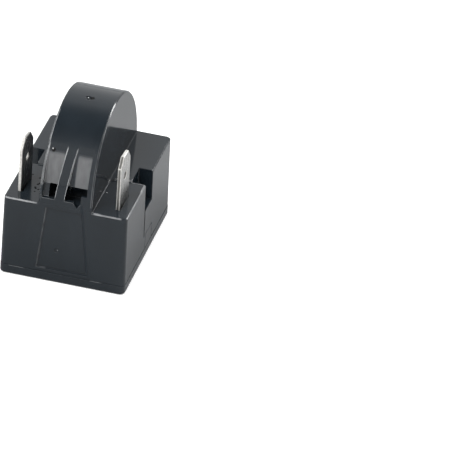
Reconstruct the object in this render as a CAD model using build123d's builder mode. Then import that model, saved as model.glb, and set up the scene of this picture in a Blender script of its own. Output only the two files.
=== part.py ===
"""Plug-on start relay for a refrigeration compressor: a moulded case whose half-round drum holds
a resistor pill between two springs, with two push-on tabs and two sockets for compressor pins.

Millimetres. The origin is the centre of the underside, +X to the right seen from the front,
+Y to the back, +Z up. The compressor pins enter from below.
"""
import os
from math import cos, radians, sin, tan

from build123d import *

# Case block
case_width = 28.2
case_depth = 36.2
case_draft = 0.75  # degrees, each side
corner_radius = 1.2
edge_chamfer = 0.3
wall = 1.6
platform_z = 19.3
rear_top_z = 19.65

# Half-round drum on the centre line
drum_setback = 0.25
drum_centre_z = 19.4
drum_width = 12.1
drum_draft = 1.0  # degrees, each side
drum_edge = 0.3
cavity_width = 7.6
cavity_radius = 12.6

# Front platforms beside the drum
platform_overlap = 0.1
platform_rear_y = -2.7
platform_corner_radius = 2.6

# Relief in the front of the drum: two panes and pockets behind a stepped lip, with a rib between them
relief_left_x = -5.35
relief_right_x = 4.65
relief_top_angle = 45.0  # degrees above the drum's centre, where the panes leave the rim
relief_foot_inset = 1.85
relief_foot_z = 23.8
relief_bulge = 0.6
lip_top_z = 20.9
lip_thickness = 0.9
pocket_left_x = -4.05
pocket_floor_z = 19.7
pocket_depth = 2.6
step_x = 3.4
step_z = 22.7
rib_width = 2.2
rib_top_x = -0.05
rib_foot_x = -1.54
vee_x = 2.55
vee_width = 1.7

# Shallow tapered panel in the front face
panel_depth = 0.35
panel_foot_z = 3.1
panel_top_z = 18.6
panel_foot_left = -5.85
panel_foot_right = 5.6
panel_top_left = -4.2
panel_top_right = 3.9

# Round marks left by the mould: the gate on the rim and an ejector in the panel
gate_x = -0.5
gate_y = -0.8
gate_diameter = 1.5
gate_depth = 0.25
gate_stub_diameter = 0.5
ejector_x = -1.54
ejector_z = 7.9
ejector_diameter = 1.0
ejector_depth = 0.15

# Notch in each side wall, and the slit below it
notch_front_y = -2.9
notch_rear_y = 2.9
notch_clearance = 0.65
notch_floor_z = 12.3
slit_width = 0.5

# Base cover with its snap tongues, locating rim, pill post and socket collars
cover_thickness = 2.2
cover_overhang = 0.06
tongue_width = 5.0
tongue_y = 1.0
tongue_top_z = 5.8
rim_height = 1.6
rim_width = 1.0
fit_clearance = 0.12
post_width = 5.0
post_depth = 7.0
collar_width = 0.9
collar_height = 1.6

# Compressor pins and the rolled sockets that grip them
pin_diameter = 3.2
pin_spacing = 12.7
entry_clearance = 0.3
entry_chamfer = 0.6
socket_wall = 0.5
socket_height = 9.2
socket_seam = 0.7
socket_lift = 0.1
neck_width = 3.0
clip_wall = 0.4
clip_foot_z = 4.3
clip_height = 5.0
clip_mouth = 2.6

# Push-on tabs
tab_thickness = 0.8
tab_width = 6.3
tab_inset_x = 3.12
tab_inset_y = 6.68
tab_top_z = 31.95
tab_tip_height = 2.4
tab_tip_width = 2.8
tab_hole_diameter = 1.7
tab_hole_z = 26.4
shoulder_width = 8.0

# Stack on each side that joins strap, tab and spring under one rivet
stack_z = 13.0
strap_thickness = 0.5
strap_width = 4.2
strap_end = 2.1
rivet_diameter = 2.0
rivet_head_diameter = 3.4
rivet_head_height = 0.6

# Resistor pill
pill_diameter = 20.0
pill_thickness = 2.6
pill_clearance = 0.2
web_width = 3.0
web_angle = 25.0  # degrees above the drum's centre, where the locating web ends

# Pressure springs
spring_thickness = 0.4
spring_x = 3.0
spring_top_z = 27.0
spring_half_depth = 7.5
bow_width = 5.0
bow_height = 8.6
bow_gap = 0.5
contact_clearance = 0.05

# Places that follow from the sizes above
half_width = case_width / 2
half_depth = case_depth / 2
drum_radius = half_depth - drum_setback
relief_foot_y = relief_foot_inset - drum_radius
pocket_rear_y = relief_foot_y + pocket_depth
platform_inner_x = drum_width / 2 - platform_overlap
tab_x = half_width - tab_inset_x
tab_y = tab_inset_y - half_depth
roof_z = platform_z - wall
pin_x = pin_spacing / 2
bore_radius = pin_diameter / 2
socket_radius = bore_radius + socket_wall
notch_inner_x = pin_x + socket_radius + notch_clearance + wall
socket_foot_z = cover_thickness + socket_lift
socket_top_z = socket_foot_z + socket_height
pill_radius = pill_diameter / 2
tab_foot_z = stack_z + strap_thickness
spring_foot_z = tab_foot_z + tab_thickness
stack_top_z = spring_foot_z + spring_thickness
sides = (("left", -1), ("right", 1))


def drum_blank():
    """Half-round drum that leans in towards its top."""
    top_z = drum_centre_z + drum_radius
    lean = (top_z - roof_z) * tan(radians(drum_draft))
    with BuildPart() as drum:
        with BuildSketch(Plane.XZ):
            with BuildLine():
                Polyline(
                    (-drum_width / 2, roof_z),
                    (drum_width / 2, roof_z),
                    (drum_width / 2 - lean, top_z),
                    (lean - drum_width / 2, top_z),
                    close=True,
                )
            make_face()
        extrude(amount=drum_radius, both=True)
        with BuildSketch(Plane.YZ):
            with Locations((0, drum_centre_z)):
                Circle(drum_radius)
            with Locations((0, drum_centre_z)):
                Rectangle(2 * drum_radius, 2 * drum_radius, align=(Align.CENTER, Align.MAX))
        extrude(amount=drum_width, both=True, mode=Mode.INTERSECT)
        rims = drum.edges().filter_by(GeomType.LINE, reverse=True)
        chamfer(rims, drum_edge)
    return drum.part


def relief_top():
    """Place, seen from the side, where the panes leave the rim."""
    angle = radians(relief_top_angle)
    return -drum_radius * cos(angle), drum_centre_z + drum_radius * sin(angle)


def rib_blank():
    """Leaning rib between the panes; its front follows the rim."""
    top_y, top_z = relief_top()
    half = rib_width / 2
    with BuildPart() as rib:
        with BuildSketch(Plane.XZ):
            with BuildLine():
                Polyline(
                    (rib_foot_x - half, pocket_floor_z),
                    (rib_foot_x + half, pocket_floor_z),
                    (rib_top_x + half, top_z),
                    (rib_top_x - half, top_z),
                    close=True,
                )
            make_face()
        extrude(amount=case_depth)
    return rib.part


def relief_cutter():
    """Hollow in the drum's front: curved panes down to pockets behind the stepped lip."""
    top_y, top_z = relief_top()
    outside_y = -case_depth
    lip_rear_y = lip_thickness - drum_radius
    middle_y = (top_y + relief_foot_y) / 2 - relief_bulge
    middle_z = (top_z + relief_foot_z) / 2
    with BuildPart() as relief:
        # Panes
        with BuildSketch(Plane.YZ.offset(relief_left_x)):
            with BuildLine():
                ThreePointArc(
                    (top_y, top_z),
                    (middle_y, middle_z),
                    (relief_foot_y, relief_foot_z),
                )
                Polyline(
                    (relief_foot_y, relief_foot_z),
                    (lip_rear_y, lip_top_z),
                    (outside_y, lip_top_z),
                    (outside_y, top_z),
                    (top_y, top_z),
                )
            make_face()
        extrude(amount=relief_right_x - relief_left_x)

        # Pockets behind the lip
        with BuildSketch(Plane.YZ.offset(pocket_left_x)):
            with BuildLine():
                Polyline(
                    (lip_rear_y, relief_foot_z),
                    (relief_foot_y, relief_foot_z),
                    (pocket_rear_y, relief_foot_z - lip_thickness),
                    (pocket_rear_y, pocket_floor_z),
                    (lip_rear_y, pocket_floor_z),
                    close=True,
                )
            make_face()
        extrude(amount=relief_right_x - pocket_left_x)

        # Step left standing at the right end of the lip, and the rib
        with BuildSketch(Plane.YZ.offset(step_x)):
            with Locations((lip_rear_y, pocket_floor_z)):
                Rectangle(case_depth, step_z - pocket_floor_z, align=(Align.MAX, Align.MIN))
        extrude(amount=relief_right_x - step_x, mode=Mode.SUBTRACT)
        add(rib_blank(), mode=Mode.SUBTRACT)

        # Small vee through the lip
        with BuildSketch(Plane.XZ.offset(drum_radius)):
            with BuildLine():
                Polyline(
                    (vee_x - vee_width / 2, lip_top_z),
                    (vee_x, pocket_floor_z),
                    (vee_x + vee_width / 2, lip_top_z),
                    close=True,
                )
            make_face()
        extrude(amount=lip_thickness, both=True)
    return relief.part


def mould_marks():
    """Cutter for the gate's round recess, with its stub left standing, and the ejector's mark."""
    top_z = drum_centre_z + drum_radius
    lean = (ejector_z - cover_thickness) * tan(radians(case_draft))
    panel_reach = half_depth - lean - panel_depth
    with BuildPart() as marks:
        with BuildSketch(Plane.XY.offset(top_z - gate_depth)):
            with Locations((gate_x, gate_y)):
                Circle(gate_diameter / 2)
                Circle(gate_stub_diameter / 2, mode=Mode.SUBTRACT)
        extrude(amount=2 * gate_depth)
        with BuildSketch(Plane.XZ.offset(panel_reach - ejector_depth)):
            with Locations((ejector_x, ejector_z)):
                Circle(ejector_diameter / 2)
        extrude(amount=2 * panel_depth)
    return marks.part


def housing():
    """Moulded case, open below."""
    cavity_half_width = half_width - wall
    cavity_half_depth = half_depth - wall
    notch_wall_x = notch_inner_x - wall
    notch_depth = notch_rear_y - notch_front_y
    notch_y = (notch_front_y + notch_rear_y) / 2
    platform_reach = half_depth + platform_rear_y
    face_tilt = radians(case_draft)

    with BuildPart() as case:
        # Drafted block with the drum on it
        with BuildSketch(Plane.XY.offset(cover_thickness)):
            RectangleRounded(case_width, case_depth, corner_radius)
        extrude(amount=rear_top_z - cover_thickness, taper=case_draft)
        chamfer(case.faces().sort_by(Axis.Z)[-1].edges(), edge_chamfer)

        # Front platforms let in below the rear top
        for _, side in sides:
            with BuildSketch(Plane.XY.offset(platform_z)) as platform:
                with Locations((side * half_width, platform_rear_y)):
                    Rectangle(
                        2 * (half_width - platform_inner_x),
                        2 * platform_reach,
                        align=(Align.CENTER, Align.MAX),
                    )
                rear_corners = platform.vertices().group_by(Axis.Y)[-1].sort_by(Axis.X)
                fillet(rear_corners[0 if side > 0 else -1], platform_corner_radius)
            extrude(amount=wall, mode=Mode.SUBTRACT)
        level = case.faces().filter_by(Axis.Z).group_by(Axis.Z)[-2].edges()
        front_edges = level.filter_by(lambda edge: edge.center().Y < -half_depth + corner_radius)
        side_edges = level.filter_by(lambda edge: abs(edge.center().X) > half_width - corner_radius)
        chamfer(set(front_edges + side_edges), edge_chamfer)
        add(drum_blank())

        # Relief in the drum's front
        add(relief_cutter(), mode=Mode.SUBTRACT)

        # Tapered panel in the front face
        front = Plane(
            origin=(0, -half_depth, cover_thickness),
            x_dir=(1, 0, 0),
            z_dir=(0, -cos(face_tilt), sin(face_tilt)),
        )
        with BuildSketch(front):
            with BuildLine():
                Polyline(
                    (panel_foot_left, panel_foot_z - cover_thickness),
                    (panel_foot_right, panel_foot_z - cover_thickness),
                    (panel_top_right, panel_top_z - cover_thickness),
                    (panel_top_left, panel_top_z - cover_thickness),
                    close=True,
                )
            make_face()
        extrude(amount=-panel_depth, mode=Mode.SUBTRACT)
        add(mould_marks(), mode=Mode.SUBTRACT)

        # Room inside the block and the drum
        with BuildSketch(Plane.XY.offset(cover_thickness)):
            Rectangle(2 * cavity_half_width, 2 * cavity_half_depth)
        extrude(amount=roof_z - cover_thickness, mode=Mode.SUBTRACT)
        with BuildSketch(Plane.YZ):
            with Locations((0, drum_centre_z)):
                Circle(cavity_radius)
        extrude(amount=cavity_width / 2, both=True, mode=Mode.SUBTRACT)

        # Web in the drum that locates the pill
        with BuildSketch(Plane.YZ):
            with Locations((0, drum_centre_z)):
                Circle(cavity_radius + edge_chamfer)
                Circle(pill_radius + pill_clearance, mode=Mode.SUBTRACT)
            with Locations((0, drum_centre_z + pill_radius * sin(radians(web_angle)))):
                Rectangle(case_depth, case_depth, align=(Align.CENTER, Align.MAX), mode=Mode.SUBTRACT)
        extrude(amount=web_width / 2, both=True)

        # Notch in each side with walls of its own, and the slots below it
        for _, side in sides:
            with BuildSketch(Plane.XY.offset(notch_floor_z - wall)):
                with Locations((side * (notch_wall_x + cavity_half_width + wall / 2) / 2, notch_y)):
                    Rectangle(cavity_half_width + wall / 2 - notch_wall_x, notch_depth + 2 * wall)
            extrude(amount=platform_z - notch_floor_z + wall / 2)
            with BuildSketch(Plane.XY.offset(notch_floor_z)):
                with Locations((side * (notch_inner_x + case_width) / 2, notch_y)):
                    Rectangle(case_width - notch_inner_x, notch_depth)
            extrude(amount=case_depth, mode=Mode.SUBTRACT)
            with BuildSketch(Plane.YZ.offset(side * half_width)):
                with Locations((tongue_y, cover_thickness)):
                    Rectangle(
                        tongue_width + 2 * fit_clearance,
                        tongue_top_z - cover_thickness + fit_clearance,
                        align=(Align.CENTER, Align.MIN),
                    )
                with Locations((notch_front_y + slit_width / 2, tongue_top_z)):
                    Rectangle(
                        slit_width,
                        notch_floor_z - tongue_top_z,
                        align=(Align.CENTER, Align.MIN),
                    )
            extrude(amount=wall, both=True, mode=Mode.SUBTRACT)

            # Slot in the platform for the tab
            with BuildSketch(Plane.XY.offset(roof_z)):
                with Locations((side * tab_x, tab_y)):
                    Rectangle(tab_thickness + 2 * fit_clearance, tab_width + 2 * fit_clearance)
            extrude(amount=2 * wall, mode=Mode.SUBTRACT)
    return case.part


def base_cover():
    """Plate that closes the case from below."""
    rim_outer_width = case_width - 2 * wall - 2 * fit_clearance
    rim_outer_depth = case_depth - 2 * wall - 2 * fit_clearance
    tongue_inner_x = half_width - wall - fit_clearance - rim_width
    with BuildPart() as cover:
        with BuildSketch():
            RectangleRounded(
                case_width + 2 * cover_overhang,
                case_depth + 2 * cover_overhang,
                corner_radius + cover_overhang,
            )
        extrude(amount=cover_thickness)
        chamfer(cover.faces().sort_by(Axis.Z)[0].edges(), edge_chamfer)

        # Rim inside the case walls
        with BuildSketch(Plane.XY.offset(cover_thickness)):
            Rectangle(rim_outer_width, rim_outer_depth)
            Rectangle(
                rim_outer_width - 2 * rim_width,
                rim_outer_depth - 2 * rim_width,
                mode=Mode.SUBTRACT,
            )
        extrude(amount=rim_height)

        # Tongues that snap into the side walls
        for _, side in sides:
            with BuildSketch(Plane.XZ.offset(-tongue_y)):
                lean = (tongue_top_z - cover_thickness) * tan(radians(case_draft))
                with BuildLine():
                    Polyline(
                        (side * tongue_inner_x, cover_thickness),
                        (side * half_width, cover_thickness),
                        (side * (half_width - lean), tongue_top_z),
                        (side * (half_width - wall), tongue_top_z),
                        (side * tongue_inner_x, cover_thickness + rim_height),
                        close=True,
                    )
                make_face()
            extrude(amount=tongue_width / 2, both=True)

        # Post under the pill
        with BuildSketch(Plane.XY.offset(cover_thickness)):
            Rectangle(post_width, post_depth)
        extrude(amount=drum_centre_z - pill_radius)
        with BuildSketch(Plane.YZ):
            with Locations((0, drum_centre_z)):
                Circle(pill_radius + pill_clearance)
        extrude(amount=post_width, both=True, mode=Mode.SUBTRACT)

        # Collars round the sockets, and the entries for the pins
        with BuildSketch(Plane.XY.offset(cover_thickness)):
            with Locations((-pin_x, 0), (pin_x, 0)):
                Circle(socket_radius + fit_clearance + collar_width)
                Circle(socket_radius + fit_clearance, mode=Mode.SUBTRACT)
        extrude(amount=collar_height)
        with Locations((-pin_x, 0, cover_thickness), (pin_x, 0, cover_thickness)):
            Hole(bore_radius + entry_clearance, depth=cover_thickness)
        mouths = cover.faces().sort_by(Axis.Z)[0].inner_wires().edges()
        chamfer(mouths, entry_chamfer)
    return cover.part


def pill():
    """Ceramic resistor disc standing across the drum."""
    with BuildPart() as disc:
        with BuildSketch(Plane.YZ):
            with Locations((0, drum_centre_z)):
                Circle(pill_radius)
        extrude(amount=pill_thickness / 2, both=True)
        chamfer(disc.edges().filter_by(GeomType.CIRCLE), pill_clearance)
    return disc.part


def rivet_hole(side, bottom_z, thickness):
    """Cutter for the rivet's hole through one layer of the stack."""
    with BuildPart() as hole:
        with BuildSketch(Plane.XY.offset(bottom_z)):
            with Locations((side * pin_x, tab_y)):
                Circle(rivet_diameter / 2)
        extrude(amount=thickness)
    return hole.part


def pressure_spring(side):
    """Spring plate in the drum with a bow that presses on the pill, and a foot in the stack."""
    plate_x = side * (spring_x + spring_thickness / 2)
    foot_outer_x = pin_x + strap_end
    touch_x = pill_thickness / 2 + contact_clearance
    bow_middle_z = drum_centre_z
    with BuildPart() as spring:
        with BuildSketch(Plane.YZ.offset(plate_x)) as plate:
            with Locations((0, spring_foot_z)):
                Rectangle(
                    2 * spring_half_depth,
                    spring_top_z - spring_foot_z,
                    align=(Align.CENTER, Align.MIN),
                )
            fillet(plate.vertices().group_by(Axis.Y)[-1], corner_radius)
            with Locations((tab_y, spring_foot_z)):
                Rectangle(
                    strap_width,
                    roof_z - spring_foot_z - fit_clearance,
                    align=(Align.CENTER, Align.MIN),
                )
            with Locations((tab_y + strap_width / 2, spring_foot_z)):
                Rectangle(
                    -tab_y - strap_width / 2,
                    roof_z - spring_foot_z - fit_clearance,
                    align=(Align.MIN, Align.MIN),
                )
            with Locations((0, bow_middle_z)):
                Rectangle(bow_width + 2 * bow_gap, bow_height, mode=Mode.SUBTRACT)
        extrude(amount=spring_thickness / 2, both=True)

        # Foot bent outwards into the stack
        with BuildSketch(Plane.XY.offset(spring_foot_z)):
            with Locations((side * (spring_x + foot_outer_x) / 2, tab_y)):
                Rectangle(foot_outer_x - spring_x, strap_width)
        extrude(amount=spring_thickness)
        add(rivet_hole(side, spring_foot_z, spring_thickness), mode=Mode.SUBTRACT)

        # Bow lanced from the plate
        with BuildSketch(Plane.XZ):
            with BuildLine():
                outer = ThreePointArc(
                    (side * spring_x, bow_middle_z - bow_height / 2),
                    (side * touch_x, bow_middle_z),
                    (side * spring_x, bow_middle_z + bow_height / 2),
                )
                inner = ThreePointArc(
                    (side * (spring_x + spring_thickness), bow_middle_z - bow_height / 2),
                    (side * (touch_x + spring_thickness), bow_middle_z),
                    (side * (spring_x + spring_thickness), bow_middle_z + bow_height / 2),
                )
                Line(outer @ 0, inner @ 0)
                Line(outer @ 1, inner @ 1)
            make_face()
        extrude(amount=bow_width / 2, both=True)
    return spring.part


def tab_terminal(side):
    """Push-on tab with shoulders under the platform and a foot in the stack."""
    tip_z = tab_top_z - tab_tip_height
    foot_inner_x = pin_x - strap_end
    with BuildPart() as terminal:
        with BuildSketch(Plane.YZ.offset(side * tab_x)):
            with BuildLine():
                Polyline(
                    (tab_y - tab_width / 2, tab_foot_z),
                    (tab_y + tab_width / 2, tab_foot_z),
                    (tab_y + tab_width / 2, tip_z),
                    (tab_y + tab_tip_width / 2, tab_top_z),
                    (tab_y - tab_tip_width / 2, tab_top_z),
                    (tab_y - tab_width / 2, tip_z),
                    close=True,
                )
            make_face()
            with Locations((tab_y, tab_foot_z)):
                Rectangle(
                    shoulder_width,
                    roof_z - tab_foot_z - fit_clearance,
                    align=(Align.CENTER, Align.MIN),
                )
            with Locations((tab_y, tab_hole_z)):
                Circle(tab_hole_diameter / 2, mode=Mode.SUBTRACT)
        extrude(amount=tab_thickness / 2, both=True)

        # Chamfered lead-in at the tip
        tip_edges = terminal.faces().sort_by(Axis.Z)[-1].edges().filter_by(Axis.Y)
        chamfer(tip_edges, tab_thickness / 4)

        # Foot bent inwards into the stack
        with BuildSketch(Plane.XY.offset(tab_foot_z)):
            with Locations((side * (foot_inner_x + tab_x) / 2, tab_y)):
                Rectangle(tab_x - foot_inner_x, strap_width)
        extrude(amount=tab_thickness)
        add(rivet_hole(side, tab_foot_z, tab_thickness), mode=Mode.SUBTRACT)
    return terminal.part


def pin_socket(side):
    """Rolled socket for a compressor pin, with a neck and a strap into the stack."""
    centre = (side * pin_x, 0)
    neck_y = -bore_radius - socket_wall
    strap_front_y = tab_y - strap_width / 2
    with BuildPart() as socket:
        with BuildSketch(Plane.XY.offset(socket_foot_z)):
            with Locations(centre):
                Circle(socket_radius)
                Circle(bore_radius, mode=Mode.SUBTRACT)
            with Locations((side * pin_x, socket_radius)):
                Rectangle(socket_seam, 2 * socket_wall + socket_seam, mode=Mode.SUBTRACT)
        extrude(amount=socket_height)
        mouth = socket.faces().sort_by(Axis.Z)[0].edges().filter_by(GeomType.CIRCLE)
        chamfer(mouth.sort_by(SortBy.RADIUS)[0], socket_wall / 2)

        # Neck up from the socket's front, and strap forwards into the stack
        with BuildSketch(Plane.XY.offset(socket_top_z - socket_wall)):
            with Locations((side * pin_x, neck_y)):
                Rectangle(neck_width, socket_wall, align=(Align.CENTER, Align.MIN))
            with Locations(centre):
                Circle(bore_radius, mode=Mode.SUBTRACT)
        extrude(amount=tab_foot_z - socket_top_z + socket_wall)
        with BuildSketch(Plane.XY.offset(stack_z)):
            with Locations((side * pin_x, strap_front_y)):
                Rectangle(
                    strap_width,
                    neck_y + socket_wall - strap_front_y,
                    align=(Align.CENTER, Align.MIN),
                )
        extrude(amount=strap_thickness)
        add(rivet_hole(side, stack_z, strap_thickness), mode=Mode.SUBTRACT)
    return socket.part


def socket_clip(side):
    """Steel clip that closes the rolled socket on its pin."""
    with BuildPart() as clip:
        with BuildSketch(Plane.XY.offset(clip_foot_z)):
            with Locations((side * pin_x, 0)):
                Circle(socket_radius + clip_wall)
                Circle(socket_radius, mode=Mode.SUBTRACT)
                Rectangle(clip_mouth, case_depth, align=(Align.CENTER, Align.MIN), mode=Mode.SUBTRACT)
        extrude(amount=clip_height)
    return clip.part


def rivets():
    """One rivet through each stack."""
    with BuildPart() as pair:
        for _, side in sides:
            place = (side * pin_x, tab_y)
            with BuildSketch(Plane.XY.offset(stack_z - rivet_head_height)):
                with Locations(place):
                    Circle(rivet_head_diameter / 2)
            extrude(amount=rivet_head_height)
            with BuildSketch(Plane.XY.offset(stack_z)):
                with Locations(place):
                    Circle(rivet_diameter / 2)
            extrude(amount=stack_top_z - stack_z)
            with BuildSketch(Plane.XY.offset(stack_top_z)):
                with Locations(place):
                    Circle(rivet_head_diameter / 2)
            extrude(amount=rivet_head_height)
    return pair.part


def write(shape, label):
    """Label one piece and write it to its own file."""
    shape.label = label
    export_step(shape, f"parts/{label}.step")


os.makedirs("parts", exist_ok=True)
write(housing(), "housing")
write(base_cover(), "base_cover")
write(pill(), "resistor_pill")
write(rivets(), "rivets")
for name, sign in sides:
    write(pressure_spring(sign), f"pressure_spring_{name}")
    write(tab_terminal(sign), f"tab_terminal_{name}")
    write(pin_socket(sign), f"pin_socket_{name}")
    write(socket_clip(sign), f"socket_clip_{name}")
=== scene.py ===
"""Studio picture of the compressor start relay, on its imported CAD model."""
import math

import bmesh
import bpy
from mathutils import Matrix, Vector


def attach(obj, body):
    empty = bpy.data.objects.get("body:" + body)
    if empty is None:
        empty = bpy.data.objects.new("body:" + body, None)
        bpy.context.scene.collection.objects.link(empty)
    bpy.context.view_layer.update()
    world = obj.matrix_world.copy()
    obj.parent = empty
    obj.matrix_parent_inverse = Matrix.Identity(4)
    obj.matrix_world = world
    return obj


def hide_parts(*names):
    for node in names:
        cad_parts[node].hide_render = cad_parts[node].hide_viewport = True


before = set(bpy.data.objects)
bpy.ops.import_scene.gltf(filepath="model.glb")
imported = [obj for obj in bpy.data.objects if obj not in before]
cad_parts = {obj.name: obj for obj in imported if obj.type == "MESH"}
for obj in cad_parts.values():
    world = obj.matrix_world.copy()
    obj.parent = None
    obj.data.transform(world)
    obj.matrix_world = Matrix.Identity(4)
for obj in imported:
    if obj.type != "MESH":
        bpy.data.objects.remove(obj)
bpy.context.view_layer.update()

# View of the photograph: angles in degrees, distances in metres, image places in pixels
VIEW_AZIMUTH = 12.98
VIEW_ELEVATION = 32.71
VIEW_ROLL = 3.94
VIEW_DISTANCE = 1.215
VIEW_NEAREST = 0.1
VIEW_FARTHEST = 20.0
IMAGE_SIZE = 470
ORIGIN_IN_IMAGE = (84.54, 240.95)
FOCAL_PIXELS = 5522.0
SENSOR_MM = 36.0

# Colours, linear
WHITE = (1.0, 1.0, 1.0)
SLATE = (0.0085, 0.0125, 0.0165)
PANE_TONE = (0.115, 0.118, 0.122)
# Light colour of the painted highlights on the case's edges, and of the painted glints
PAINTED_HIGHLIGHT = (0.62, 0.63, 0.64)
DIRT = (0.004, 0.004, 0.004)
TINNED = (0.53, 0.525, 0.51)
# Colour of the painted shade towards the tabs' feet, where the metal mirrors the dark case
FOOT_SHADE_COLOUR = (0.27, 0.267, 0.26)
SHEARED = (0.22, 0.215, 0.205)
# Bright colour of the painted highlights on the tabs' corners and on one tab's front face
TAB_GLINT = (0.62, 0.61, 0.58)
STEEL = (0.60, 0.60, 0.58)
BRASS = (0.72, 0.56, 0.28)
CERAMIC = (0.30, 0.29, 0.28)
FLOOR_COLOUR = (0.86, 0.86, 0.86)
FLOOR_MIRRORED = (0.36, 0.365, 0.37)

# Roughness and gloss
PLASTIC_ROUGHNESS = 0.12
PLASTIC_IOR = 1.52
PANE_ROUGHNESS = 0.5
DIRT_ROUGHNESS = 0.9
TINNED_ROUGHNESS = 0.24
SHEARED_ROUGHNESS = 0.42
STEEL_ROUGHNESS = 0.28
BRASS_ROUGHNESS = 0.3
METALLIC = 0.92
FLOOR_ROUGHNESS = 0.7

# Noise: its usual lowest and highest value, and how its features are stretched along x, y and z
NOISE_LOW = 0.3
NOISE_HIGH = 0.7
EVEN = (1.0, 1.0, 1.0)
UPRIGHT_FLOW = (1.0, 1.0, 0.35)
UPRIGHT_STREAKS = (1.0, 1.0, 0.2)
UPRIGHT_LINES = (1.0, 1.0, 0.06)
LEVEL_LINES = (0.08, 1.0, 1.0)

# Floor and lamps, metres and watts; a mirrored lamp only shows in the part's gloss
FLOOR_REACH = 1.5
FLOOR_TOP_Z = -0.00005
LAMP_AIM = (0.0, 0.0, 0.018)
KEY_LAMP = {"place": (-0.25, -0.35, 0.75), "size": (0.5, 0.4), "power": 8.0}
BACK_LAMP = {"place": (0.25, 0.45, 0.6), "size": (0.6, 0.4), "power": 5.0}
RIGHT_LAMP = {"place": (0.77, 0.52, 0.34), "size": (0.70, 0.18), "power": 5.5, "mirrored": True}

# Light of the surroundings, as strengths; the ceiling starts and ends at a direction's upward part
FLOOR_LIFT = 0.30
WORLD_LIGHT = 0.5
WALLS_MIRRORED = 0.85
CEILING_MIRRORED = 0.15
CEILING_START = 0.70
CEILING_END = 0.99

# Drum and the lighter, duller panes let into its front, metres; PANE_FACING_Y is the y of a normal; from
# the rib to PANE_SHADOW_X the pane colour is left out, as painted shade
DRUM_AXIS_Z = 0.0194
RIM_INSIDE = 0.01776
PANE_FOOT_Z = 0.0237
PANE_TOP_Z = 0.0303
PANE_FADE = 0.0006
PANE_FRONT_Y = -0.0105
PANE_FACING_Y = -0.5
PANE_RIGHT_X = 0.00455
PANE_SHADOW_X = 0.00145
PANE_SIDE_FADE = 0.00025
RIB_MIDDLE_X = -0.0008

# Rounded edges: radius in metres, and pairs of values from where a mask is 0 to where it is 1
EDGE_RADIUS = 0.00028
EDGE_SAMPLES = 6
EDGE_AGREEMENT = (0.99, 0.94)
EDGE_UPWARDS = (-0.30, 0.00)
CHAMFER_ABOVE = (0.35, 0.55)
CHAMFER_BELOW = (0.85, 0.70)

# Painted highlights on the case's edges and chamfers: each zone is its lowest and highest corner in
# metres, and how strong the painted highlight is
EDGE_FAINT = 0.01
HIGHLIGHT_LEAST = 0.45
ZONE_FADE = 0.0006
EDGE_ZONES = (
    ((-0.0033, -0.0190, 0.0212), (0.0013, -0.0080, 0.0316), 1.0),
    ((-0.0060, -0.0190, 0.0238), (-0.0033, -0.0080, 0.0312), 0.8),
    ((-0.0060, -0.0190, 0.0203), (0.0033, -0.0165, 0.0216), 0.20),
    ((0.0056, -0.0190, 0.0205), (0.0075, 0.0000, 0.0350), 0.5),
    ((-0.0075, -0.0190, 0.0205), (-0.0058, -0.0100, 0.0310), 0.5),
    ((-0.0075, -0.0150, 0.0300), (-0.0050, -0.0040, 0.0362), 1.0),
    ((-0.0120, -0.0190, 0.0015), (-0.0086, -0.0175, 0.0030), 0.22),
    ((0.0065, -0.0190, 0.0015), (0.0090, -0.0175, 0.0030), 0.22),
    ((-0.0066, -0.0190, 0.0030), (-0.0038, -0.0172, 0.0188), 0.22),
    ((0.0070, -0.0060, 0.0190), (0.0145, -0.0020, 0.0202), 0.8),
    ((0.0060, -0.0182, 0.0190), (0.0078, -0.0045, 0.0198), 0.45),
    ((-0.0145, -0.0060, 0.0190), (-0.0058, -0.0020, 0.0202), 0.2),
)
CHAMFER_ZONES = (
    ((-0.0136, -0.0190, 0.0185), (-0.0064, -0.0172, 0.0205), 0.6),
    ((0.0064, -0.0190, 0.0185), (0.0126, -0.0172, 0.0205), 0.38),
    ((0.0132, -0.0172, 0.0185), (0.0150, -0.0030, 0.0205), 0.30),
)

# Right edge of the panel in the front face: its x at floor level, and its change per metre upwards
PANEL_EDGE_X = 0.00594
PANEL_EDGE_LEAN = -0.1097

# Strip along that edge, which mirrors less, as painted shade of the edge; pairs run from where its mask
# is 0 to where it is 1
PANEL_STRIP = 0.0006
PANEL_STRIP_GLOSS = 0.3
PANEL_STRIP_Y = (-0.0170, -0.0174)
PANEL_STRIP_FOOT_Z = (0.0025, 0.0045)
PANEL_STRIP_HEAD_Z = (0.0215, 0.0195)

# Crumbs of dirt, and painted glints as small light spots: place and radius in metres; their borders' two
# sides are in radii
PLATFORM_Z = 0.0193
SPOT_OUTSIDE = 1.25
SPOT_INSIDE = 0.75
CRUMBS = (
    (-0.01045, -0.00718, PLATFORM_Z, 0.00022),
    (-0.00854, -0.00812, PLATFORM_Z, 0.00025),
    (-0.00800, -0.01020, PLATFORM_Z, 0.00026),
    (-0.00825, -0.01070, PLATFORM_Z, 0.00026),
    (-0.00845, -0.01200, PLATFORM_Z, 0.00025),
    (-0.00825, -0.01240, PLATFORM_Z, 0.00025),
    (-0.00757, -0.01263, PLATFORM_Z, 0.00024),
    (-0.00810, -0.01369, PLATFORM_Z, 0.00018),
    (-0.00430, -0.01365, 0.0308, 0.00050),
    (0.00030, -0.00060, 0.03723, 0.00055),
)
PAINTED_GLINTS = (
    (-0.00450, -0.01355, 0.03102, 0.00024),
    (-0.00130, -0.01768, 0.00794, 0.00016),
    (0.00675, -0.00862, PLATFORM_Z, 0.00012),
    (-0.00060, -0.00069, 0.03724, 0.00013),
)

# Tabs, metres: each stands a little askew, turned by degrees about the upright line at its place
TAB_FOOT_Z = 0.0145
# Top of the painted shade on the tabs
FOOT_SHADE_TOP_Z = 0.0275
TAB_TURN = {"left": -5.0, "right": -2.5}
TAB_PLACE = {"left": (-0.01105, -0.01142), "right": (0.01093, -0.01142)}

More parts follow.
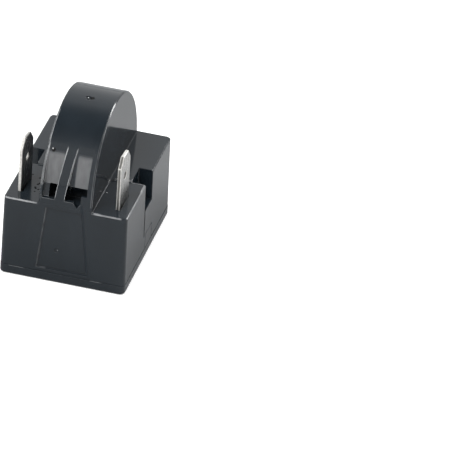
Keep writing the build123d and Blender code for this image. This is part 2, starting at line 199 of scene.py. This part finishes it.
# Corners of the tabs: angles in degrees, lengths in metres, and the limits of a face's normal
TAB_CORNER = 0.00016
TAB_CORNER_STEPS = 2
TAB_CORNER_ROUND = 0.5
TAB_CORNER_ANGLE = 30
TAB_FLAT_ANGLE = 2
TAB_SAME_POINT = 0.000002
TAB_FRONT_NORMAL_Y = -0.3
TAB_RIGHT_NORMAL_X = 0.2
SHEARED_NORMAL_Y = (0.5, 0.7)
# Tab whose whole front face also gets the painted highlight
BRIGHT_FRONT = "left"
FACE_SLOT = 0
CORNER_SLOT = 1


def new_material(name):
    """New material: itself, its node tree and its Principled shader."""
    material = bpy.data.materials.new(name)
    material.use_nodes = True
    tree = material.node_tree
    tree.nodes.clear()
    output = tree.nodes.new("ShaderNodeOutputMaterial")
    shader = tree.nodes.new("ShaderNodeBsdfPrincipled")
    tree.links.new(shader.outputs["BSDF"], output.inputs["Surface"])
    return material, tree, shader


def principled(material):
    """Node tree of a material, and its Principled shader."""
    tree = material.node_tree
    shader = next(node for node in tree.nodes if node.type == "BSDF_PRINCIPLED")
    return tree, shader


def math_node(tree, operation, first, second=0.0, clamp=False):
    """Result of one operation; each side is a socket or a number."""
    node = tree.nodes.new("ShaderNodeMath")
    node.operation = operation
    node.use_clamp = clamp
    for socket, value in zip(node.inputs, (first, second)):
        if isinstance(value, (int, float)):
            socket.default_value = value
        else:
            tree.links.new(value, socket)
    return node.outputs[0]


def product(tree, values):
    """Product of several values."""
    result = values[0]
    for value in values[1:]:
        result = math_node(tree, "MULTIPLY", result, value)
    return result


def split(tree, vector):
    """X, Y and Z of a vector."""
    parts = tree.nodes.new("ShaderNodeSeparateXYZ")
    tree.links.new(vector, parts.inputs["Vector"])
    return [parts.outputs[axis] for axis in "XYZ"]


def object_point(tree):
    """The point, in the object's own frame."""
    return tree.nodes.new("ShaderNodeTexCoord").outputs["Object"]


def surface_normal(tree):
    """The surface's normal."""
    return tree.nodes.new("ShaderNodeNewGeometry").outputs["Normal"]


def rounded_normal(tree):
    """Normal with the edges rounded off."""
    node = tree.nodes.new("ShaderNodeBevel")
    node.samples = EDGE_SAMPLES
    node.inputs["Radius"].default_value = EDGE_RADIUS
    return node.outputs["Normal"]


def fade(tree, value, start, end, low=0.0, high=1.0):
    """Low where a value is at the start, high where it is at the end, in between smoothly."""
    node = tree.nodes.new("ShaderNodeMapRange")
    node.interpolation_type = "SMOOTHSTEP"
    node.inputs["From Min"].default_value = start
    node.inputs["From Max"].default_value = end
    node.inputs["To Min"].default_value = low
    node.inputs["To Max"].default_value = high
    tree.links.new(value, node.inputs["Value"])
    return node.outputs["Result"]


def noise(tree, scale, detail=3.0, stretch=EVEN):
    """Noise in the object's own frame; the scale counts features per metre."""
    mapping = tree.nodes.new("ShaderNodeMapping")
    mapping.inputs["Scale"].default_value = stretch
    texture = tree.nodes.new("ShaderNodeTexNoise")
    texture.inputs["Scale"].default_value = scale
    texture.inputs["Detail"].default_value = detail
    tree.links.new(object_point(tree), mapping.inputs["Vector"])
    tree.links.new(mapping.outputs["Vector"], texture.inputs["Vector"])
    return texture.outputs["Fac"]


def spread(tree, value, low, high):
    """Number between two others, by a noise value."""
    node = tree.nodes.new("ShaderNodeMapRange")
    node.inputs["From Min"].default_value = NOISE_LOW
    node.inputs["From Max"].default_value = NOISE_HIGH
    node.inputs["To Min"].default_value = low
    node.inputs["To Max"].default_value = high
    tree.links.new(value, node.inputs["Value"])
    return node.outputs["Result"]


def shade(colour, factor):
    """Colour made lighter or darker."""
    return tuple(min(1.0, channel * factor) for channel in colour)


def shades(tree, value, colour, dark, light):
    """Colour between a darker and a lighter shade of one colour, by a noise value."""
    node = tree.nodes.new("ShaderNodeValToRGB")
    darkest, lightest = node.color_ramp.elements
    darkest.position = NOISE_LOW
    darkest.color = (*shade(colour, dark), 1.0)
    lightest.position = NOISE_HIGH
    lightest.color = (*shade(colour, light), 1.0)
    tree.links.new(value, node.inputs["Fac"])
    return node.outputs["Color"]


def bump(tree, shader, height, distance, strength):
    """Fine relief on a shader."""
    node = tree.nodes.new("ShaderNodeBump")
    node.inputs["Distance"].default_value = distance
    node.inputs["Strength"].default_value = strength
    tree.links.new(height, node.inputs["Height"])
    tree.links.new(node.outputs["Normal"], shader.inputs["Normal"])


def blend(tree, shader, socket, mask, value):
    """Replace what a socket has by a value or colour where the mask is 1."""
    target = shader.inputs[socket]
    mix = tree.nodes.new("ShaderNodeMix")
    mix.data_type = "FLOAT" if isinstance(value, float) else "RGBA"
    tree.links.new(mask, mix.inputs["Factor"])
    if target.is_linked:
        tree.links.new(target.links[0].from_socket, mix.inputs["A"])
    else:
        mix.inputs["A"].default_value = target.default_value
    if isinstance(value, float):
        mix.inputs["B"].default_value = value
    elif isinstance(value, tuple):
        mix.inputs["B"].default_value = (*value, 1.0)
    else:
        tree.links.new(value, mix.inputs["B"])
    tree.links.new(mix.outputs["Result"], target)


def spots(tree, places):
    """1 inside small balls, each given by its middle and its radius."""
    point = object_point(tree)
    inside = 0.0
    for *middle, radius in places:
        away = tree.nodes.new("ShaderNodeVectorMath")
        away.operation = "DISTANCE"
        away.inputs[1].default_value = middle
        tree.links.new(point, away.inputs[0])
        ball = fade(tree, away.outputs["Value"], radius * SPOT_OUTSIDE, radius * SPOT_INSIDE)
        inside = math_node(tree, "MAXIMUM", ball, inside)
    return inside


def specks(tree, shader):
    """Dark crumbs of dirt, dull as dust, and painted glints as small light spots."""
    crumbs = spots(tree, CRUMBS)
    blend(tree, shader, "Base Color", crumbs, DIRT)
    blend(tree, shader, "Roughness", crumbs, DIRT_ROUGHNESS)
    # Painted highlights: small light spots
    blend(tree, shader, "Base Color", spots(tree, PAINTED_GLINTS), PAINTED_HIGHLIGHT)


def panel_strip(tree):
    """1 along the right edge of the panel in the front face, 0 away from it; there the plastic mirrors
    less, as painted shade.
    """
    x, y, z = split(tree, object_point(tree))
    lean = math_node(tree, "MULTIPLY", z, PANEL_EDGE_LEAN)
    edge = math_node(tree, "ADD", lean, PANEL_EDGE_X)
    away = math_node(tree, "ABSOLUTE", math_node(tree, "SUBTRACT", x, edge))
    return product(
        tree,
        (
            fade(tree, away, PANEL_STRIP, 0.0),
            fade(tree, y, *PANEL_STRIP_Y),
            fade(tree, z, *PANEL_STRIP_FOOT_Z),
            fade(tree, z, *PANEL_STRIP_HEAD_Z),
        ),
    )


def pane_mask(tree):
    """1 on the panes let into the drum's front, fading out towards their upper ends; 0 on a strip right
    of the rib, left dark as painted shade.
    """
    x, y, z = split(tree, object_point(tree))
    height = math_node(tree, "SUBTRACT", z, DRUM_AXIS_Z)
    across_squared = math_node(tree, "POWER", y, 2.0)
    height_squared = math_node(tree, "POWER", height, 2.0)
    radius = math_node(tree, "SQRT", math_node(tree, "ADD", across_squared, height_squared))
    facing = split(tree, surface_normal(tree))[1]
    left_pane = math_node(tree, "LESS_THAN", x, RIB_MIDDLE_X)
    # Strip right of the rib kept dark: painted shade of the rib
    clear = fade(tree, x, PANE_SHADOW_X - PANE_SIDE_FADE, PANE_SHADOW_X + PANE_SIDE_FADE)
    return product(
        tree,
        (
            math_node(tree, "LESS_THAN", radius, RIM_INSIDE),
            math_node(tree, "LESS_THAN", y, PANE_FRONT_Y),
            math_node(tree, "GREATER_THAN", z, PANE_FOOT_Z),
            math_node(tree, "LESS_THAN", facing, PANE_FACING_Y),
            fade(tree, z, PANE_TOP_Z + PANE_FADE, PANE_TOP_Z - PANE_FADE),
            fade(tree, x, PANE_RIGHT_X + PANE_SIDE_FADE, PANE_RIGHT_X - PANE_SIDE_FADE),
            math_node(tree, "MAXIMUM", left_pane, clear),
        ),
    )


def lighter_panes(tree, shader):
    """Make the panes of the case lighter and duller than the rest."""
    mask = pane_mask(tree)
    streaks = noise(tree, scale=1100.0, stretch=UPRIGHT_STREAKS)
    pane_tone = shades(tree, streaks, PANE_TONE, dark=0.85, light=1.15)
    blend(tree, shader, "Base Color", mask, pane_tone)
    blend(tree, shader, "Roughness", mask, PANE_ROUGHNESS)


def edge_mask(tree):
    """1 on edges that don't face down, 0 on flat and smoothly curved places."""
    rounded = rounded_normal(tree)
    compare = tree.nodes.new("ShaderNodeVectorMath")
    compare.operation = "DOT_PRODUCT"
    tree.links.new(rounded, compare.inputs[0])
    tree.links.new(surface_normal(tree), compare.inputs[1])
    edge = fade(tree, compare.outputs["Value"], *EDGE_AGREEMENT)
    upwards = fade(tree, split(tree, rounded)[2], *EDGE_UPWARDS)
    return product(tree, (edge, upwards))


def chamfer_mask(tree):
    """1 where the rounded surface slopes, 0 where it is level or upright."""
    slope = split(tree, rounded_normal(tree))[2]
    return product(tree, (fade(tree, slope, *CHAMFER_ABOVE), fade(tree, slope, *CHAMFER_BELOW)))


def zone(tree, lowest, highest):
    """1 inside a box of the object's own frame, fading out across its sides."""
    half = ZONE_FADE / 2
    sides = []
    for value, low, high in zip(split(tree, object_point(tree)), lowest, highest):
        sides.append(fade(tree, value, low - half, low + half))
        sides.append(fade(tree, value, high + half, high - half))
    return product(tree, sides)


def in_zones(tree, zones, elsewhere):
    """Strength of the strongest zone at this place, or the one for elsewhere."""
    strength = elsewhere
    for lowest, highest, here in zones:
        inside = math_node(tree, "MULTIPLY", zone(tree, lowest, highest), here)
        strength = math_node(tree, "MAXIMUM", inside, strength)
    return strength


def edge_highlight_strength(tree):
    """How strongly the case's edges and chamfers are painted as highlights: plainly in the zones that
    show it, faintly elsewhere.
    """
    edges = math_node(tree, "MULTIPLY", edge_mask(tree), in_zones(tree, EDGE_ZONES, EDGE_FAINT))
    chamfers = math_node(tree, "MULTIPLY", chamfer_mask(tree), in_zones(tree, CHAMFER_ZONES, 0.0))
    return math_node(tree, "MAXIMUM", edges, chamfers, clamp=True)


def painted_edge_highlights(tree, shader):
    """Painted highlights along the case's edges, as a lighter colour, and rounded edge normals."""
    patches = spread(tree, noise(tree, scale=420.0), HIGHLIGHT_LEAST, 1.0)
    blend(tree, shader, "Base Color", product(tree, (edge_highlight_strength(tree), patches)), PAINTED_HIGHLIGHT)
    relief = next(node for node in tree.nodes if node.type == "BUMP")
    tree.links.new(rounded_normal(tree), relief.inputs["Normal"])


def moulded_plastic(name, colour, roughness):
    """Glossy moulded plastic with faint flow marks."""
    material, tree, shader = new_material(name)
    flow = noise(tree, scale=160.0, stretch=UPRIGHT_FLOW)
    grain = noise(tree, scale=2600.0, detail=2.0)
    tint = shades(tree, flow, colour, dark=0.88, light=1.12)
    gloss = spread(tree, flow, low=roughness - 0.04, high=roughness + 0.05)
    tree.links.new(tint, shader.inputs["Base Color"])
    tree.links.new(gloss, shader.inputs["Roughness"])
    shader.inputs["IOR"].default_value = PLASTIC_IOR
    bump(tree, shader, grain, distance=0.00001, strength=0.35)
    lighter_panes(tree, shader)
    specks(tree, shader)
    # Painted shade: a strip along the panel's edge mirrors less
    blend(tree, shader, "Specular IOR Level", panel_strip(tree), PANEL_STRIP_GLOSS)
    # Painted highlights along the case's edges
    painted_edge_highlights(tree, shader)
    return material


def rolled_metal(name, colour, roughness, stretch):
    """Rolled strip with fine draw lines and faint stains."""
    material, tree, shader = new_material(name)
    lines = noise(tree, scale=900.0, detail=4.0, stretch=stretch)
    stains = noise(tree, scale=220.0)
    tint = shades(tree, stains, colour, dark=0.82, light=1.08)
    gloss = spread(tree, lines, low=roughness - 0.06, high=roughness + 0.10)
    tree.links.new(tint, shader.inputs["Base Color"])
    tree.links.new(gloss, shader.inputs["Roughness"])
    shader.inputs["Metallic"].default_value = METALLIC
    bump(tree, shader, lines, distance=0.00002, strength=0.3)
    return material


def shade_painted_foot(material):
    """Painted shade: a tab's metal painted darker towards its foot, where it mirrors the dark case."""
    tree, shader = principled(material)
    height = split(tree, object_point(tree))[2]
    outside = fade(tree, height, TAB_FOOT_Z, PLATFORM_Z)
    foot = fade(tree, height, FOOT_SHADE_TOP_Z, PLATFORM_Z)
    blend(tree, shader, "Base Color", product(tree, (outside, foot)), FOOT_SHADE_COLOUR)


def sheared_edges(material):
    """Darker, duller narrow faces at the front and back of a tab."""
    tree, shader = principled(material)
    along = math_node(tree, "ABSOLUTE", split(tree, surface_normal(tree))[1])
    mask = fade(tree, along, *SHEARED_NORMAL_Y)
    blend(tree, shader, "Base Color", mask, SHEARED)
    blend(tree, shader, "Roughness", mask, SHEARED_ROUGHNESS)


def painted_glint_material(name, colour):
    """Polished corners of a stamped tab."""
    # Painted highlights: a bright, plain colour for a tab's rounded corners and one tab's front face.
    material, tree, shader = new_material(name)
    glint_noise = noise(tree, scale=1500.0, detail=4.0)
    tree.links.new(shades(tree, glint_noise, colour, dark=0.7, light=1.0), shader.inputs["Base Color"])
    tree.links.new(spread(tree, glint_noise, low=0.2, high=0.4), shader.inputs["Roughness"])
    return material


def fired_ceramic(name, colour):
    """Fine-grained ceramic."""
    material, tree, shader = new_material(name)
    grain = noise(tree, scale=1800.0, detail=5.0)
    tree.links.new(shades(tree, grain, colour, dark=0.8, light=1.2), shader.inputs["Base Color"])
    tree.links.new(spread(tree, grain, low=0.5, high=0.7), shader.inputs["Roughness"])
    bump(tree, shader, grain, distance=0.00003, strength=0.5)
    return material


def join_and_cut(form):
    """Join a tab's double points and flat faces, and cut it level where its turn starts and ends."""
    bmesh.ops.remove_doubles(form, verts=form.verts, dist=TAB_SAME_POINT)
    flat_angle = math.radians(TAB_FLAT_ANGLE)
    bmesh.ops.dissolve_limit(form, angle_limit=flat_angle, verts=form.verts, edges=form.edges)
    for height in (TAB_FOOT_Z, PLATFORM_Z):
        everything = form.verts[:] + form.edges[:] + form.faces[:]
        bmesh.ops.bisect_plane(form, geom=everything, plane_co=(0, 0, height), plane_no=(0, 0, 1))


def round_corners(form, bright):
    """Round off a tab's corners above the case, and choose the faces that get the painted highlight."""
    corners = [
        edge
        for edge in form.edges
        if edge.is_manifold
        and edge.calc_face_angle() > math.radians(TAB_CORNER_ANGLE)
        and min(vertex.co.z for vertex in edge.verts) >= PLATFORM_Z
    ]
    for face in form.faces:
        front = face.normal.y < TAB_FRONT_NORMAL_Y
        face.material_index = CORNER_SLOT if bright and front else FACE_SLOT
    bmesh.ops.bevel(
        form,
        geom=corners,
        offset=TAB_CORNER,
        segments=TAB_CORNER_STEPS,
        profile=TAB_CORNER_ROUND,
        affect="EDGES",
        material=CORNER_SLOT,
    )
    form.normal_update()
    for face in form.faces:
        if bright and face.normal.x > TAB_RIGHT_NORMAL_X:
            face.material_index = FACE_SLOT


def turn_in_slot(form, side):
    """Turn a tab in its slot: not at all at its foot, and in full from where it leaves the case."""
    middle = Vector(TAB_PLACE[side])
    for vertex in form.verts:
        share = (vertex.co.z - TAB_FOOT_Z) / (PLATFORM_Z - TAB_FOOT_Z)
        share = min(1.0, max(0.0, share))
        turn = Matrix.Rotation(math.radians(TAB_TURN[side]) * share, 2)
        vertex.co.xy = turn @ (vertex.co.xy - middle) + middle


def standing_tab(side, face_material, corner_material):
    """The part's own tab, with rounded corners in painted highlight and turned a little in its slot."""
    node = f"tab_terminal_{side}"
    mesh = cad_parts[node].data.copy()
    mesh.name = f"tab_{side}"
    mesh.materials.clear()
    mesh.materials.append(face_material)
    mesh.materials.append(corner_material)
    form = bmesh.new()
    form.from_mesh(mesh)
    join_and_cut(form)
    round_corners(form, side == BRIGHT_FRONT)
    turn_in_slot(form, side)
    form.to_mesh(mesh)
    form.free()
    tab = bpy.data.objects.new(f"push_on_tab_{side}", mesh)
    bpy.context.scene.collection.objects.link(tab)
    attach(tab, "root")
    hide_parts(node)


def dress(node, material):
    """Give a CAD node its material."""
    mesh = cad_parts[node].data
    mesh.materials.clear()
    mesh.materials.append(material)


def mirrored_rays(tree):
    """1 for glossy and transmission rays, 0 for the rest."""
    path = tree.nodes.new("ShaderNodeLightPath")
    return math_node(tree, "MAXIMUM", path.outputs["Is Glossy Ray"], path.outputs["Is Transmission Ray"])


def camera_rays(tree):
    """1 for camera rays, 0 for the rest."""
    return tree.nodes.new("ShaderNodeLightPath").outputs["Is Camera Ray"]


def floor_material():
    """Pale floor, white to the camera, that takes the shadow and shows grey in reflections."""
    material, tree, shader = new_material("floor_white")
    shader.inputs["Base Color"].default_value = (*FLOOR_COLOUR, 1.0)
    blend(tree, shader, "Base Color", mirrored_rays(tree), FLOOR_MIRRORED)
    shader.inputs["Roughness"].default_value = FLOOR_ROUGHNESS
    shader.inputs["Emission Color"].default_value = (*WHITE, 1.0)
    lift = math_node(tree, "MULTIPLY", camera_rays(tree), FLOOR_LIFT)
    tree.links.new(lift, shader.inputs["Emission Strength"])
    return material


def build_floor():
    """Floor a hair's breadth under the part, so that the two don't share a plane."""
    mesh = bpy.data.meshes.new("floor")
    signs = ((-1, -1), (1, -1), (1, 1), (-1, 1))
    corners = [(x * FLOOR_REACH, y * FLOOR_REACH, FLOOR_TOP_Z) for x, y in signs]
    mesh.from_pydata(corners, [], [(0, 1, 2, 3)])
    floor = bpy.data.objects.new("floor", mesh)
    bpy.context.scene.collection.objects.link(floor)
    mesh.materials.append(floor_material())


def build_world():
    """White to the camera; a studio with a dark ceiling in reflections; a soft light."""
    world = bpy.data.worlds.new("studio")
    bpy.context.scene.world = world
    world.use_nodes = True
    tree = world.node_tree
    tree.nodes.clear()
    output = tree.nodes.new("ShaderNodeOutputWorld")
    background = tree.nodes.new("ShaderNodeBackground")
    direction = tree.nodes.new("ShaderNodeTexCoord").outputs["Generated"]
    height = split(tree, direction)[2]
    studio = fade(tree, height, CEILING_START, CEILING_END, WALLS_MIRRORED, CEILING_MIRRORED)
    mirrored = math_node(tree, "MULTIPLY", studio, mirrored_rays(tree))
    others = math_node(tree, "SUBTRACT", 1.0, mirrored_rays(tree))
    light = math_node(tree, "MULTIPLY", others, WORLD_LIGHT)
    seen = math_node(tree, "MULTIPLY", camera_rays(tree), 1.0 - WORLD_LIGHT)
    plain = math_node(tree, "ADD", light, seen)
    tree.links.new(math_node(tree, "ADD", plain, mirrored), background.inputs["Strength"])
    background.inputs["Color"].default_value = (*WHITE, 1.0)
    tree.links.new(background.outputs["Background"], output.inputs["Surface"])


def area_light(name, place, size, power, mirrored=False):
    """Soft lamp that faces the part; it lights the part, or it only shows in its gloss."""
    light = bpy.data.lights.new(name, "AREA")
    light.shape = "RECTANGLE"
    light.size, light.size_y = size
    light.energy = power
    lamp = bpy.data.objects.new(name, light)
    bpy.context.scene.collection.objects.link(lamp)
    lamp.visible_glossy = mirrored
    lamp.visible_diffuse = not mirrored
    lamp.location = place
    towards = Vector(LAMP_AIM) - Vector(place)
    lamp.rotation_euler = towards.to_track_quat("-Z", "Y").to_euler()


def build_camera():
    """Camera where the photograph was taken from."""
    azimuth = math.radians(VIEW_AZIMUTH)
    elevation = math.radians(VIEW_ELEVATION)
    roll = math.radians(VIEW_ROLL)
    level_back = Vector((math.sin(azimuth), -math.cos(azimuth), 0))
    back = math.cos(elevation) * level_back + math.sin(elevation) * Vector((0, 0, 1))
    level = Vector((math.cos(azimuth), math.sin(azimuth), 0))
    upright = back.cross(level)
    right = math.cos(roll) * level + math.sin(roll) * upright
    up = -math.sin(roll) * level + math.cos(roll) * upright
    metres_per_pixel = VIEW_DISTANCE / FOCAL_PIXELS
    across = (ORIGIN_IN_IMAGE[0] - IMAGE_SIZE / 2) * metres_per_pixel
    down = (ORIGIN_IN_IMAGE[1] - IMAGE_SIZE / 2) * metres_per_pixel
    place = VIEW_DISTANCE * back - across * right + down * up
    lens = bpy.data.cameras.new("camera")
    lens.sensor_width = SENSOR_MM
    lens.lens = SENSOR_MM * FOCAL_PIXELS / IMAGE_SIZE
    lens.clip_start = VIEW_NEAREST
    lens.clip_end = VIEW_FARTHEST
    camera = bpy.data.objects.new("camera", lens)
    bpy.context.scene.collection.objects.link(camera)
    turn = Matrix((right, up, back)).transposed().to_4x4()
    camera.matrix_world = Matrix.Translation(place) @ turn
    bpy.context.scene.camera = camera


case = moulded_plastic("case_plastic", SLATE, PLASTIC_ROUGHNESS)
tinned = rolled_metal("tinned_brass", TINNED, TINNED_ROUGHNESS, UPRIGHT_LINES)
# Painted shade towards the tabs' feet
shade_painted_foot(tinned)
sheared_edges(tinned)
# Painted highlights on the tabs' corners
glint_paint = painted_glint_material("tab_painted_glint", TAB_GLINT)
steel = rolled_metal("spring_steel", STEEL, STEEL_ROUGHNESS, LEVEL_LINES)
dress("housing", case)
dress("base_cover", case)
dress("resistor_pill", fired_ceramic("ceramic", CERAMIC))
dress("rivets", rolled_metal("rivet_brass", BRASS, BRASS_ROUGHNESS, EVEN))
for side in ("left", "right"):
    standing_tab(side, tinned, glint_paint)
    dress(f"pin_socket_{side}", tinned)
    dress(f"pressure_spring_{side}", steel)
    dress(f"socket_clip_{side}", steel)

build_world()
build_floor()
build_camera()
area_light("key", **KEY_LAMP)
area_light("back", **BACK_LAMP)
area_light("right_strip", **RIGHT_LAMP)
bpy.context.scene.view_settings.view_transform = "Standard"
